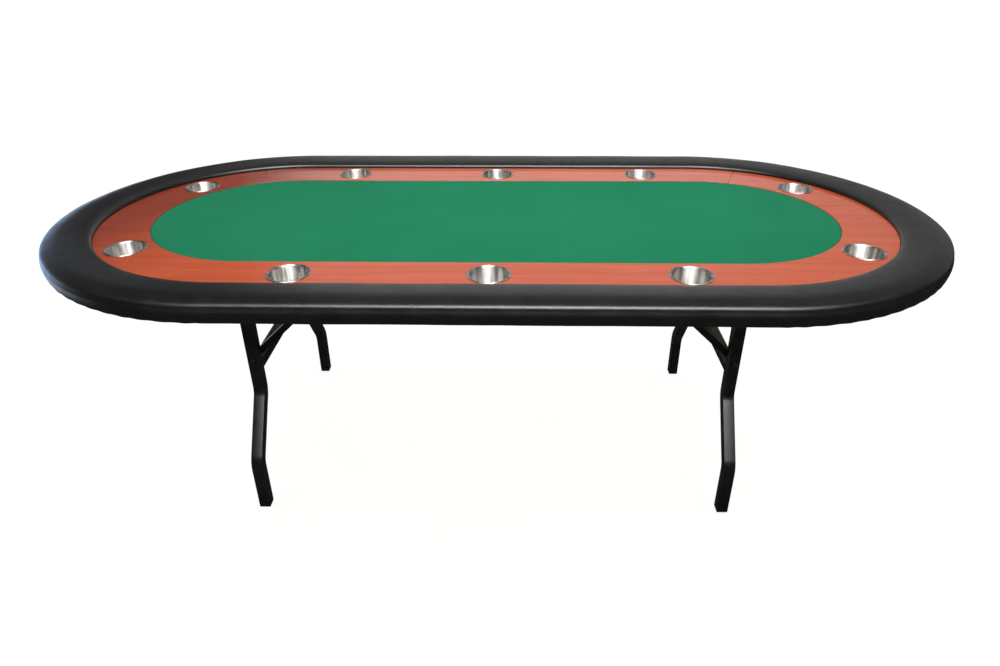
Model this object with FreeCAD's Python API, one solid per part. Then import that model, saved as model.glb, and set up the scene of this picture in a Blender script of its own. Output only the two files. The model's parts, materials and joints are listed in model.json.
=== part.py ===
"""Folding oval poker table: padded rail, lacquered racetrack, cloth playing surface, drop-in cup holders and
two tubular leg frames that fold under the top on knuckle braces.

The origin is on the floor under the middle of the table. +X runs along the table, +Y to its back and +Z up.
"""

import FreeCAD, Part
import math
import os

Vector = FreeCAD.Vector
X_AXIS = Vector(1, 0, 0)
Y_AXIS = Vector(0, 1, 0)
Z_AXIS = Vector(0, 0, 1)

# Plan: every outline is a stadium, two straights joined by two half circles about the same two centres.
HALF_STRAIGHT = 614.5
CLOTH_RADIUS = 325.5
RACETRACK_INNER_RADIUS = 326.5
CUP_ROW_RADIUS = 396.5
RACETRACK_OUTER_RADIUS = 463.5
RAIL_INNER_RADIUS = 464.0
DECK_CORE_RADIUS = 320.0
DECK_RADIUS = 561.0
RAIL_OUTER_RADIUS = 584.0
SEAM_ANGLE = 20.6
RACETRACK_BLOCK_ANGLE = 80.0

# Heights of the layers of the top.
RACETRACK_TOP = 742.0
RACETRACK_THICKNESS = 12.0
DECK_THICKNESS = 18.0
DECK_TOP = RACETRACK_TOP - RACETRACK_THICKNESS
DECK_BOTTOM = DECK_TOP - DECK_THICKNESS
CLOTH_TOP = RACETRACK_TOP - 1.2
CLOTH_THICKNESS = 1.2
RAIL_CREST = RACETRACK_TOP + 19.0
COVER_THICKNESS = 1.2
RAIL_FRAME_INNER_RADIUS = 482.0
RAIL_FRAME_OUTER_RADIUS = 559.0
RAIL_FRAME_THICKNESS = 12.0
COVER_TAIL_RADIUS = 537.0
COVER_TAIL_THICKNESS = 3.0
FOAM_BLOCKS_PER_END = 8

# Cup holders.
CUP_ALONG = 467.0
CUP_END_ANGLE = 50.5
CUP_RIM_RADIUS = 52.3
CUP_MOUTH_RADIUS = 46.5
CUP_BASE_RADIUS = 44.5
CUP_WALL = 0.9
CUP_BOTTOM = 677.0
CUP_BASE_BEVEL = 6.0
CUP_RIM_HEIGHT = 1.6
CUP_HOLE_RADIUS = 48.5

# Leg frames.
FRAME_X = 648.0
TUBE = 30.0
TUBE_WALL = 1.5
PIVOT_HEIGHT = 692.0
PIVOT_TUBE_RADIUS = 10.0
PIVOT_TUBE_HALF_LENGTH = 310.0
LEG_TOP_Y = 250.0
LEG_FOOT_Y = 364.0
BEND_TOP_HEIGHT = 317.0
BEND_FOOT_HEIGHT = 154.0
BEND_RADIUS = 60.0
LEG_TOP_HEIGHT = 704.5
FOOT_FLANGE = 6.0
FOOT_PLUG_TOP = 32.0
FOOT_CHAMFER = 4.0
CROSSBAR_HEIGHT = 398.0
CROSSBAR_TUBE = 28.0

# Knuckle braces: a lower bar pivots on the leg, an upper bar on the deck, and they meet at the knuckle.
BRACE_PIVOT_HEIGHT = 424.0
ANCHOR_X = 350.0
ANCHOR_HEIGHT = 701.0
LOWER_BAR_LENGTH = 188.5
BAR_DEPTH = 18.0
BAR_WIDTH = 12.0
BAR_WALL = 1.5
LOWER_BAR_Y = 226.0
UPPER_BAR_Y = 212.0
BOLT_RADIUS = 4.0
BOLT_CLEARANCE = 0.05
BOLT_HEAD_RADIUS = 7.5
BOLT_HEAD = 4.5
RIVET_HEAD_RADIUS = 6.0
RIVET_HEAD = 1.5

# Brackets and fasteners under the deck.
BRACKET_PLATE = 3.0
SADDLE_Y = 285.0
SADDLE_WIDTH = 30.0
SADDLE_WALL = 4.0
SADDLE_FLANGE_HALF_LENGTH = 38.0
ANCHOR_EAR_THICKNESS = 3.0
ANCHOR_PLATE_HALF_LENGTH = 26.0
ANCHOR_PLATE_WIDTH = 34.0
SCREW_SHANK_RADIUS = 2.2
SCREW_HEAD_RADIUS = 4.5
SCREW_HEAD = 2.4
BRACKET_SCREW_LENGTH = 14.0
RAIL_SCREW_LENGTH = 26.0
RAIL_SCREW_ROW_RADIUS = 520.0
RAIL_SCREW_SPACING = 280.0
RAIL_SCREW_END_ANGLES = (22.5, 67.5, 112.5, 157.5)

SIDES = {"left": -1, "right": 1}
DEPTHS = {"front": -1, "rear": 1}


# Building blocks


def stadium_wire(radius, z):
    """The outline at that distance from the middle line, anticlockwise from above."""
    right = Vector(HALF_STRAIGHT, 0, z)
    left = Vector(-HALF_STRAIGHT, 0, z)
    out = Vector(radius, 0, 0)
    side = Vector(0, radius, 0)
    edges = [
        Part.LineSegment(left - side, right - side).toShape(),
        Part.Arc(right - side, right + out, right + side).toShape(),
        Part.LineSegment(right + side, left + side).toShape(),
        Part.Arc(left + side, left - out, left - side).toShape(),
    ]
    return Part.Wire(edges)


def stadium_plate(radius, bottom, top):
    """A flat board with a stadium outline."""
    return Part.Face(stadium_wire(radius, bottom)).extrude(Vector(0, 0, top - bottom))


def stadium_ring(inner, outer, bottom, top):
    """A flat ring between two stadium outlines."""
    return stadium_plate(outer, bottom, top).cut(stadium_plate(inner, bottom - 1, top + 1))


def around_stadium(section):
    """Carries a face in the plane X = HALF_STRAIGHT, drawn on the front side, once round the table."""
    straight = section.extrude(Vector(-2 * HALF_STRAIGHT, 0, 0))
    bend = section.revolve(Vector(HALF_STRAIGHT, 0, 0), Z_AXIS, 180)
    half = straight.fuse(bend)
    other = half.copy()
    other.rotate(Vector(0, 0, 0), Z_AXIS, 180)
    return half.fuse(other).removeSplitter()


def section_point(radius, height):
    """A point of a section that around_stadium carries round."""
    return Vector(HALF_STRAIGHT, -radius, height)


def cylinder(radius, start, direction, length):
    """A solid rod from a point along a direction."""
    return Part.makeCylinder(radius, length, start, direction)


def block(centre, size):
    """A box from its centre and its three sizes."""
    corner = centre - size * 0.5
    return Part.makeBox(size.x, size.y, size.z, corner)


def joined(shapes):
    """Separate or touching solids as one shape."""
    return shapes[0].fuse(shapes[1:]).removeSplitter() if len(shapes) > 1 else shapes[0]


def group(shapes):
    """Identical pieces that share a node and stay separate solids."""
    return Part.makeCompound(shapes)


# The top


def cup_places():
    """Name and plan position of each cup holder, along the front, the ends and the back."""
    turn = math.radians(CUP_END_ANGLE)
    end_x = HALF_STRAIGHT + CUP_ROW_RADIUS * math.sin(turn)
    end_y = CUP_ROW_RADIUS * math.cos(turn)
    places = {}
    for depth, y_sign in DEPTHS.items():
        places[depth + "_middle"] = (0.0, y_sign * CUP_ROW_RADIUS)
        for side, x_sign in SIDES.items():
            places[f"{depth}_{side}"] = (x_sign * CUP_ALONG, y_sign * CUP_ROW_RADIUS)
            places[f"{depth}_{side}_end"] = (x_sign * end_x, y_sign * end_y)
    return places


def cup_holes():
    """The round cut-outs for the cup holders, through every layer."""
    depth = RACETRACK_TOP - DECK_BOTTOM + 2
    return [
        cylinder(CUP_HOLE_RADIUS, Vector(x, y, DECK_BOTTOM - 1), Z_AXIS, depth)
        for x, y in cup_places().values()
    ]


def rail_screw_places():
    """Plan positions of the screws that hold the rail's wooden frame from below."""
    places = []
    for sign in (-1, 1):
        for step in range(-2, 3):
            places.append((step * RAIL_SCREW_SPACING, sign * RAIL_SCREW_ROW_RADIUS))
        for angle in RAIL_SCREW_END_ANGLES:
            turn = math.radians(angle)
            x = sign * (HALF_STRAIGHT + RAIL_SCREW_ROW_RADIUS * math.sin(turn))
            places.append((x, RAIL_SCREW_ROW_RADIUS * math.cos(turn)))
    return places


def screw(x, y, seat, length):
    """A pan-head wood screw driven upwards, its head under the seat height."""
    head = cylinder(SCREW_HEAD_RADIUS, Vector(x, y, seat - SCREW_HEAD), Z_AXIS, SCREW_HEAD)
    shank = cylinder(SCREW_SHANK_RADIUS, Vector(x, y, seat), Z_AXIS, length)
    return joined([head, shank])


def rail_screws():
    """Every screw between the deck and the rail's frame."""
    return [screw(x, y, DECK_BOTTOM, RAIL_SCREW_LENGTH) for x, y in rail_screw_places()]


def bracket_screws():
    """The screws of the leg saddles, four to each."""
    screws = []
    seat = DECK_BOTTOM - BRACKET_PLATE
    for x_sign in SIDES.values():
        for y_sign in DEPTHS.values():
            for dx in (-1, 1):
                for dy in (-1, 1):
                    x = x_sign * FRAME_X + dx * (SADDLE_FLANGE_HALF_LENGTH - 10)
                    y = y_sign * SADDLE_Y + dy * SADDLE_WIDTH / 4
                    screws.append(screw(x, y, seat, BRACKET_SCREW_LENGTH))
    return screws


def anchor_screws():
    """The screws of the brace anchors, two to each."""
    screws = []
    seat = DECK_BOTTOM - BRACKET_PLATE
    for x_sign in SIDES.values():
        for y_sign in DEPTHS.values():
            y = y_sign * (anchor_ear_y() - ANCHOR_PLATE_WIDTH / 2)
            for dx in (-1, 1):
                x = x_sign * ANCHOR_X + dx * (ANCHOR_PLATE_HALF_LENGTH - 9)
                screws.append(screw(x, y, seat, BRACKET_SCREW_LENGTH))
    return screws


def deck_board():
    """The plywood deck: a core under the cloth and round it ten butted segments, one for each cup holder."""
    core = stadium_plate(DECK_CORE_RADIUS, DECK_BOTTOM, DECK_TOP)
    ring = stadium_ring(DECK_CORE_RADIUS, DECK_RADIUS, DECK_BOTTOM, DECK_TOP)
    far = HALF_STRAIGHT + 2 * DECK_RADIUS
    seams = [-far, -HALF_STRAIGHT, -CUP_ALONG / 2, CUP_ALONG / 2, HALF_STRAIGHT, far]
    boards = [core]
    for start, end in zip(seams, seams[1:]):
        for y_sign in DEPTHS.values():
            centre = Vector((start + end) / 2, y_sign * DECK_RADIUS, DECK_BOTTOM + DECK_THICKNESS / 2)
            size = Vector(end - start, 2 * DECK_RADIUS, 2 * DECK_THICKNESS)
            boards.append(ring.common(block(centre, size)))
    holes = cup_holes() + rail_screws() + bracket_screws() + anchor_screws()
    return group([board.cut(holes) for board in boards])


def end_wedge(x_sign, start, end):
    """A wedge about one end's centre between two angles from the front, as thick as the racetrack."""
    reach = 3 * RAIL_OUTER_RADIUS
    corner = Vector(x_sign * HALF_STRAIGHT, 0, DECK_TOP)
    arms = []
    for angle in (start, end):
        turn = math.radians(angle)
        arms.append(corner + Vector(x_sign * math.sin(turn), -math.cos(turn), 0) * reach)
    far = Vector(x_sign * reach, 0, 0)
    outline = Part.makePolygon([corner, arms[0], arms[0] + far, arms[1] + far, arms[1], corner])
    return Part.Face(outline).extrude(Z_AXIS * RACETRACK_THICKNESS)


def racetrack_sections():
    """The lacquered ring as four sections that meet just past the straights; each end's has three blocks."""
    ring = stadium_ring(RACETRACK_INNER_RADIUS, RACETRACK_OUTER_RADIUS, DECK_TOP, RACETRACK_TOP)
    ring = ring.cut(cup_holes())
    block_ends = [SEAM_ANGLE, RACETRACK_BLOCK_ANGLE, 180 - RACETRACK_BLOCK_ANGLE, 180 - SEAM_ANGLE]
    sections = {}
    for side, x_sign in SIDES.items():
        wedges = [end_wedge(x_sign, start, end) for start, end in zip(block_ends, block_ends[1:])]
        sections["racetrack_" + side] = group([ring.common(wedge) for wedge in wedges])
    rest = ring.cut([end_wedge(x_sign, SEAM_ANGLE, 180 - SEAM_ANGLE) for x_sign in SIDES.values()])
    for piece in rest.Solids:
        name = "racetrack_front" if piece.CenterOfMass.y < 0 else "racetrack_back"
        sections[name] = piece
    return sections


def playing_foam():
    """The foam pad under the cloth."""
    return stadium_plate(CLOTH_RADIUS, DECK_TOP, CLOTH_TOP - CLOTH_THICKNESS)


def playing_cloth():
    """The cloth of the playing surface, a little below the racetrack."""
    return stadium_plate(CLOTH_RADIUS, CLOTH_TOP - CLOTH_THICKNESS, CLOTH_TOP)


def rail_crown(inset):
    """The rail's outer curve moved inwards: inner shoulder, broad crest, outer shoulder and rounded side."""
    crown = [
        section_point(RAIL_INNER_RADIUS, RACETRACK_TOP),
        section_point(RAIL_INNER_RADIUS + 5.0, RACETRACK_TOP + 9.0),
        section_point(RAIL_INNER_RADIUS + 20.0, RACETRACK_TOP + 14.4),
        section_point(RAIL_INNER_RADIUS + 40.0, RACETRACK_TOP + 17.2),
        section_point(RAIL_INNER_RADIUS + 70.0, RAIL_CREST),
        section_point(RAIL_OUTER_RADIUS - 30.0, RACETRACK_TOP + 17.4),
        section_point(RAIL_OUTER_RADIUS - 7.5, RACETRACK_TOP + 10.2),
        section_point(RAIL_OUTER_RADIUS - 2.1, RACETRACK_TOP - 1.2),
        section_point(RAIL_OUTER_RADIUS, RACETRACK_TOP - 14.1),
        section_point(RAIL_OUTER_RADIUS - 4.5, DECK_BOTTOM - 3.4),
        section_point(RAIL_OUTER_RADIUS - 15.0, DECK_BOTTOM - 7.9),
    ]
    curve = Part.BSplineCurve()
    curve.interpolate(crown)
    if not inset:
        return curve
    moved = []
    for point in crown:
        tangent = curve.tangent(curve.parameter(point))[0]
        moved.append(point + X_AXIS.cross(tangent).normalize() * inset)
    inner = Part.BSplineCurve()
    inner.interpolate(moved)
    return inner


def rail_section(inset=0.0):
    """The padded rail's outline, or the same outline inside its cover. It wraps under the deck's edge."""
    curve = rail_crown(inset)
    corners = [
        curve.EndPoint,
        section_point(COVER_TAIL_RADIUS + inset, DECK_BOTTOM - COVER_TAIL_THICKNESS + inset),
        section_point(COVER_TAIL_RADIUS + inset, DECK_BOTTOM - inset),
        section_point(DECK_RADIUS + inset, DECK_BOTTOM - inset),
        section_point(DECK_RADIUS + inset, DECK_TOP + inset),
        section_point(RAIL_INNER_RADIUS + inset, DECK_TOP + inset),
        curve.StartPoint,
    ]
    return Part.Face(Part.Wire([curve.toShape()] + Part.makePolygon(corners).Edges))


def rail_cover():
    """The vinyl skin of the rail."""
    return around_stadium(rail_section().cut(rail_section(COVER_THICKNESS)).Faces[0])


def rail_frame():
    """The wooden ring inside the rail."""
    bottom = DECK_TOP + COVER_THICKNESS
    ring = stadium_ring(
        RAIL_FRAME_INNER_RADIUS, RAIL_FRAME_OUTER_RADIUS, bottom, bottom + RAIL_FRAME_THICKNESS
    )
    return ring


def foam_sections():
    """The padding's outline in two parts: the pad above the deck, and the strip outside the deck's edge."""
    section = rail_section(COVER_THICKNESS)
    seat = DECK_TOP + COVER_THICKNESS
    edge = DECK_RADIUS + COVER_THICKNESS
    reach = Vector(0, -2 * RAIL_OUTER_RADIUS, 0)
    above = Part.makePolygon([
        section_point(0, seat),
        section_point(0, seat) + reach,
        section_point(0, 2 * seat) + reach,
        section_point(0, 2 * seat),
        section_point(0, seat),
    ])
    outside = Part.makePolygon([
        section_point(edge, 0),
        section_point(edge, 0) + reach,
        section_point(edge, seat) + reach,
        section_point(edge, seat),
        section_point(edge, 0),
    ])
    return [section.common(Part.Face(outline)).Faces[0] for outline in (above, outside)]


def rail_foam():
    """The padding under the cover: pieces along each side and butted blocks round each end."""
    frame = rail_frame()
    step = 180.0 / FOAM_BLOCKS_PER_END
    end_centre = Vector(HALF_STRAIGHT, 0, 0)
    foam = []
    for section in foam_sections():
        pieces = [section.extrude(Vector(-2 * HALF_STRAIGHT, 0, 0))]
        for number in range(FOAM_BLOCKS_PER_END):
            piece = section.revolve(end_centre, Z_AXIS, step)
            piece.rotate(end_centre, Z_AXIS, number * step)
            pieces.append(piece)
        for piece in pieces:
            padding = piece.cut(frame).Solids[0]
            opposite = padding.copy()
            opposite.rotate(Vector(0, 0, 0), Z_AXIS, 180)
            foam += [padding, opposite]
    return group(foam)


def cup_holder(x, y):
    """A drawn steel cup: flat rolled rim, slightly tapered wall and a rounded base, open above."""
    rim_top = RACETRACK_TOP + CUP_RIM_HEIGHT
    outer = [
        Vector(0, 0, CUP_BOTTOM),
        Vector(CUP_BASE_RADIUS - CUP_BASE_BEVEL, 0, CUP_BOTTOM),
        Vector(CUP_BASE_RADIUS, 0, CUP_BOTTOM + CUP_BASE_BEVEL),
        Vector(CUP_MOUTH_RADIUS, 0, RACETRACK_TOP),
        Vector(CUP_RIM_RADIUS, 0, RACETRACK_TOP),
        Vector(CUP_RIM_RADIUS - 0.8, 0, rim_top - 0.4),
        Vector(CUP_RIM_RADIUS - 2.4, 0, rim_top),
        Vector(CUP_MOUTH_RADIUS + 0.4, 0, rim_top - 0.2),
        Vector(CUP_MOUTH_RADIUS - CUP_WALL, 0, RACETRACK_TOP - 0.8),
        Vector(CUP_BASE_RADIUS - CUP_WALL, 0, CUP_BOTTOM + CUP_BASE_BEVEL + CUP_WALL / 2),
        Vector(CUP_BASE_RADIUS - CUP_BASE_BEVEL - CUP_WALL / 2, 0, CUP_BOTTOM + CUP_WALL),
        Vector(0, 0, CUP_BOTTOM + CUP_WALL),
        Vector(0, 0, CUP_BOTTOM),
    ]
    cup = Part.Face(Part.makePolygon(outer)).revolve(Vector(0, 0, 0), Z_AXIS, 360)
    cup.translate(Vector(x, y, 0))
    return cup


# The leg frames, drawn on the right and the rear, then mirrored


def leg_path(bottom, top):
    """The bent centre line of a rear leg in the plane of its frame."""
    corners = [
        Vector(FRAME_X, LEG_FOOT_Y, bottom),
        Vector(FRAME_X, LEG_FOOT_Y, BEND_FOOT_HEIGHT),
        Vector(FRAME_X, LEG_TOP_Y, BEND_TOP_HEIGHT),
        Vector(FRAME_X, LEG_TOP_Y, top),
    ]
    edges = []
    start = corners[0]
    for before, corner, after in zip(corners, corners[1:], corners[2:]):
        inward = (before - corner).normalize()
        outward = (after - corner).normalize()
        half_turn = (math.pi - inward.getAngle(outward)) / 2
        reach = BEND_RADIUS * math.tan(half_turn)
        bisector = (inward + outward).normalize()
        middle = corner + bisector * (BEND_RADIUS / math.cos(half_turn) - BEND_RADIUS)
        enter = corner + inward * reach
        leave = corner + outward * reach
        edges.append(Part.LineSegment(start, enter).toShape())
        edges.append(Part.Arc(enter, middle, leave).toShape())
        start = leave
    edges.append(Part.LineSegment(start, corners[-1]).toShape())
    return Part.Wire(edges)


def square_along(path, width):
    """A square bar along a wire that starts straight up."""
    start = path.OrderedVertexes[0].Point
    half = width / 2
    corners = [(-half, -half), (half, -half), (half, half), (-half, half), (-half, -half)]
    section = Part.makePolygon([start + Vector(x, y, 0) for x, y in corners])
    return path.makePipeShell([section], True, False)


def leg_tube():
    """One bent square tube, with holes for the pivot tube and the brace's bolt."""
    outer = square_along(leg_path(FOOT_FLANGE, LEG_TOP_HEIGHT), TUBE)
    inner = square_along(leg_path(FOOT_FLANGE - 1, LEG_TOP_HEIGHT - TUBE_WALL), TUBE - 2 * TUBE_WALL)
    side = Vector(FRAME_X, LEG_TOP_Y - TUBE, PIVOT_HEIGHT)
    pivot_hole = cylinder(PIVOT_TUBE_RADIUS, side, Y_AXIS, 2 * TUBE)
    side = Vector(FRAME_X, LEG_TOP_Y - TUBE, BRACE_PIVOT_HEIGHT)
    bolt_hole = cylinder(BOLT_RADIUS, side, Y_AXIS, 2 * TUBE)
    return outer.cut([inner, pivot_hole, bolt_hole])


def foot_cap():
    """The glide pressed into the foot of a leg: a chamfered flange and a plug."""
    flange = block(Vector(FRAME_X, LEG_FOOT_Y, FOOT_FLANGE / 2), Vector(TUBE, TUBE, FOOT_FLANGE))
    lower = [e for e in flange.Edges if e.BoundBox.ZMax < FOOT_FLANGE / 2]
    flange = flange.makeChamfer(FOOT_CHAMFER, lower)
    plug_side = TUBE - 2 * TUBE_WALL
    plug_height = FOOT_PLUG_TOP - FOOT_FLANGE
    centre = Vector(FRAME_X, LEG_FOOT_Y, FOOT_FLANGE + plug_height / 2)
    return joined([flange, block(centre, Vector(plug_side, plug_side, plug_height))])


def crossbar():
    """The square tube between the two legs of a frame."""
    length = 2 * LEG_TOP_Y - TUBE
    centre = Vector(FRAME_X, 0, CROSSBAR_HEIGHT)
    outer = block(centre, Vector(CROSSBAR_TUBE, length, CROSSBAR_TUBE))
    bore = CROSSBAR_TUBE - 2 * TUBE_WALL
    return outer.cut(block(centre, Vector(bore, length + 2, bore)))


def pivot_tube():
    """The round tube that the leg frame folds about."""
    start = Vector(FRAME_X, -PIVOT_TUBE_HALF_LENGTH, PIVOT_HEIGHT)
    length = 2 * PIVOT_TUBE_HALF_LENGTH
    return cylinder(PIVOT_TUBE_RADIUS, start, Y_AXIS, length).cut(
        cylinder(PIVOT_TUBE_RADIUS - TUBE_WALL, start - Y_AXIS, Y_AXIS, length + 2)
    )


def leg_saddle():
    """The saddle clamp that holds the pivot tube under the deck."""
    top = DECK_BOTTOM
    plate_centre = Vector(FRAME_X, SADDLE_Y, top - BRACKET_PLATE / 2)
    plate = block(plate_centre, Vector(2 * SADDLE_FLANGE_HALF_LENGTH, SADDLE_WIDTH, BRACKET_PLATE))
    start = Vector(FRAME_X, SADDLE_Y - SADDLE_WIDTH / 2, PIVOT_HEIGHT)
    radius = PIVOT_TUBE_RADIUS + SADDLE_WALL
    strap = cylinder(radius, start, Y_AXIS, SADDLE_WIDTH)
    neck_centre = Vector(FRAME_X, SADDLE_Y, (top + PIVOT_HEIGHT) / 2)
    neck = block(neck_centre, Vector(2 * radius, SADDLE_WIDTH, top - PIVOT_HEIGHT))
    bore = cylinder(PIVOT_TUBE_RADIUS + BOLT_CLEARANCE, start - Y_AXIS, Y_AXIS, SADDLE_WIDTH + 2)
    return joined([plate, strap, neck]).cut([bore] + bracket_screws())


def anchor_ear_y():
    """Distance from the middle to the inner face of a brace anchor's ear."""
    return UPPER_BAR_Y - BAR_WIDTH / 2 - 1.0 - ANCHOR_EAR_THICKNESS


def brace_anchor():
    """The angle bracket under the deck that the upper bar pivots on."""
    inner = anchor_ear_y()
    plate_y = inner + ANCHOR_EAR_THICKNESS - ANCHOR_PLATE_WIDTH / 2
    plate_centre = Vector(ANCHOR_X, plate_y, DECK_BOTTOM - BRACKET_PLATE / 2)
    plate_size = Vector(2 * ANCHOR_PLATE_HALF_LENGTH, ANCHOR_PLATE_WIDTH, BRACKET_PLATE)
    plate = block(plate_centre, plate_size)
    ear = cylinder(BAR_DEPTH / 2, Vector(ANCHOR_X, inner, ANCHOR_HEIGHT), Y_AXIS, ANCHOR_EAR_THICKNESS)
    web_height = DECK_BOTTOM - ANCHOR_HEIGHT
    web_centre = Vector(ANCHOR_X, inner + ANCHOR_EAR_THICKNESS / 2, ANCHOR_HEIGHT + web_height / 2)
    web = block(web_centre, Vector(BAR_DEPTH, ANCHOR_EAR_THICKNESS, web_height))
    hole = cylinder(BOLT_RADIUS, Vector(ANCHOR_X, inner - 1, ANCHOR_HEIGHT), Y_AXIS, 5)
    return joined([plate, ear, web]).cut([hole] + anchor_screws())


def anchor_rivet():
    """The rivet through the anchor's ear and the upper bar."""
    inner = anchor_ear_y()
    outer = UPPER_BAR_Y + BAR_WIDTH / 2 + 0.3
    shank = cylinder(BOLT_RADIUS, Vector(ANCHOR_X, inner, ANCHOR_HEIGHT), Y_AXIS, outer - inner)
    head_place = Vector(ANCHOR_X, inner - RIVET_HEAD, ANCHOR_HEIGHT)
    head = cylinder(RIVET_HEAD_RADIUS, head_place, Y_AXIS, RIVET_HEAD)
    tail = cylinder(RIVET_HEAD_RADIUS, Vector(ANCHOR_X, outer, ANCHOR_HEIGHT), Y_AXIS, RIVET_HEAD)
    return joined([shank, head, tail])


def brace_direction():
    """Unit vector from the brace's pivot on the leg up to its anchor."""
    return Vector(ANCHOR_X - FRAME_X, 0, ANCHOR_HEIGHT - BRACE_PIVOT_HEIGHT).normalize()


def brace_bar(start, length, y):
    """A flat-oval tube from its first pivot hole to its second, along the brace."""
    half = BAR_DEPTH / 2
    bottom = -BAR_WIDTH / 2
    flat = Part.makeBox(length, BAR_DEPTH, BAR_WIDTH, Vector(0, -half, bottom))
    ends = [cylinder(half, Vector(x, 0, bottom), Z_AXIS, BAR_WIDTH) for x in (0, length)]
    bar = joined([flat] + ends)
    bore = Part.makeBox(
        length - 2 * BAR_DEPTH,
        BAR_DEPTH - 2 * BAR_WALL,
        BAR_WIDTH - 2 * BAR_WALL,
        Vector(BAR_DEPTH, BAR_WALL - half, bottom + BAR_WALL),
    )
    hole_radius = BOLT_RADIUS + BOLT_CLEARANCE
    holes = [cylinder(hole_radius, Vector(x, 0, bottom - 1), Z_AXIS, BAR_WIDTH + 2) for x in (0, length)]
    bar = bar.cut([bore] + holes)
    along = brace_direction()
    across = Y_AXIS.cross(along)
    bar.Placement = FreeCAD.Placement(
        FreeCAD.Matrix(
            along.x, across.x, Y_AXIS.x, start.x,
            along.y, across.y, Y_AXIS.y, y,
            along.z, across.z, Y_AXIS.z, start.z,
            0, 0, 0, 1,
        )
    )
    return bar


def brace_foot():
    """The lower bar's pivot on the leg."""
    return Vector(FRAME_X, 0, BRACE_PIVOT_HEIGHT)


def knuckle():
    """The point where the two bars meet."""
    return brace_foot() + brace_direction() * LOWER_BAR_LENGTH


def lower_bar():
    """The bar from the leg to the knuckle."""
    return brace_bar(brace_foot(), LOWER_BAR_LENGTH, LOWER_BAR_Y)


def upper_bar():
    """The bar from the knuckle to the anchor, beside the lower bar."""
    anchor = Vector(ANCHOR_X, 0, ANCHOR_HEIGHT)
    return brace_bar(knuckle(), (anchor - knuckle()).Length, UPPER_BAR_Y)


def knuckle_rivet():
    """The knuckle's rivet, held in the lower bar; it stops short of the upper bar."""
    inner = LOWER_BAR_Y - BAR_WIDTH / 2 - 0.8
    outer = LOWER_BAR_Y + BAR_WIDTH / 2
    start = knuckle()
    shank = cylinder(BOLT_RADIUS + BOLT_CLEARANCE, Vector(start.x, inner, start.z), Y_AXIS, outer - inner)
    head = cylinder(RIVET_HEAD_RADIUS, Vector(start.x, outer, start.z), Y_AXIS, RIVET_HEAD)
    return joined([shank, head])


def brace_bolt():
    """The bolt through a leg that the lower bar turns on, with its head on the leg's outer face, a spacer
    washer against the leg and a nut inside the bar."""
    inner = LOWER_BAR_Y - BAR_WIDTH / 2 - 0.4
    outer = LEG_TOP_Y + TUBE / 2
    place = Vector(FRAME_X, 0, BRACE_PIVOT_HEIGHT)
    shank = cylinder(BOLT_RADIUS, place + Y_AXIS * inner, Y_AXIS, outer - inner)
    head = cylinder(BOLT_HEAD_RADIUS, place + Y_AXIS * outer, Y_AXIS, BOLT_HEAD)
    washer_start = LOWER_BAR_Y + BAR_WIDTH / 2 + 0.4
    leg_face = LEG_TOP_Y - TUBE / 2
    washer = cylinder(BOLT_HEAD_RADIUS, place + Y_AXIS * washer_start, Y_AXIS, leg_face - washer_start)
    nut = cylinder(BOLT_HEAD_RADIUS - 0.5, place + Y_AXIS * (inner - 1.2), Y_AXIS, 1.2)
    return joined([shank, head, washer, nut])


# Writing the nodes


def placed(shape, x_sign, y_sign):
    """A copy of a right rear piece on another side of the table."""
    copy = shape
    if x_sign < 0:
        copy = copy.mirror(Vector(0, 0, 0), X_AXIS)
    if y_sign < 0:
        copy = copy.mirror(Vector(0, 0, 0), Y_AXIS)
    return copy


def make_nodes():
    """Every node of the table by name."""
    nodes = {
        "deck_board": deck_board(),
        "playing_foam": playing_foam(),
        "playing_cloth": playing_cloth(),
        "rail_frame": rail_frame().cut(rail_screws()),
        "rail_foam": rail_foam().cut(rail_screws()),
        "rail_cover": rail_cover().cut(rail_screws()),
        "rail_screws": group(rail_screws()),
        "leg_saddle_screws": group(bracket_screws()),
        "brace_anchor_screws": group(anchor_screws()),
    }
    nodes.update(racetrack_sections())
    for name, (x, y) in cup_places().items():
        nodes["cup_" + name] = cup_holder(x, y)
    both_depths = {
        "leg": leg_tube,
        "foot_cap": foot_cap,
        "leg_saddle": leg_saddle,
        "brace_anchor": brace_anchor,
        "lower_brace": lower_bar,
        "upper_brace": upper_bar,
    }
    grouped = {"anchor_rivets": anchor_rivet, "knuckle_rivets": knuckle_rivet, "brace_bolts": brace_bolt}
    single = {"pivot_tube": pivot_tube, "crossbar": crossbar}
    for side, x_sign in SIDES.items():
        for name, make in both_depths.items():
            shape = make()
            for depth, y_sign in DEPTHS.items():
                nodes[f"{side}_{depth}_{name}"] = placed(shape, x_sign, y_sign)
        for name, make in grouped.items():
            shape = make()
            nodes[f"{side}_{name}"] = group([placed(shape, x_sign, y_sign) for y_sign in DEPTHS.values()])
        for name, make in single.items():
            nodes[f"{side}_{name}"] = placed(make(), x_sign, 1)
    return nodes


def main():
    os.makedirs("parts", exist_ok=True)
    nodes = make_nodes()
    for name, shape in sorted(nodes.items()):
        shape.exportStep(f"parts/{name}.step")
        print(f"{name:26s} solids {len(shape.Solids):2d} valid {shape.isValid()}", shape.BoundBox)
    print(len(nodes), "nodes")


main()
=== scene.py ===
"""Looks of the folding oval poker table: padded vinyl rail, lacquered racetrack, stretched cloth, steel cup
holders and powder-coated folding leg frames, in a plain pale studio."""

import json
import math

import bmesh
import bpy
from mathutils import Matrix, Vector, noise

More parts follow.
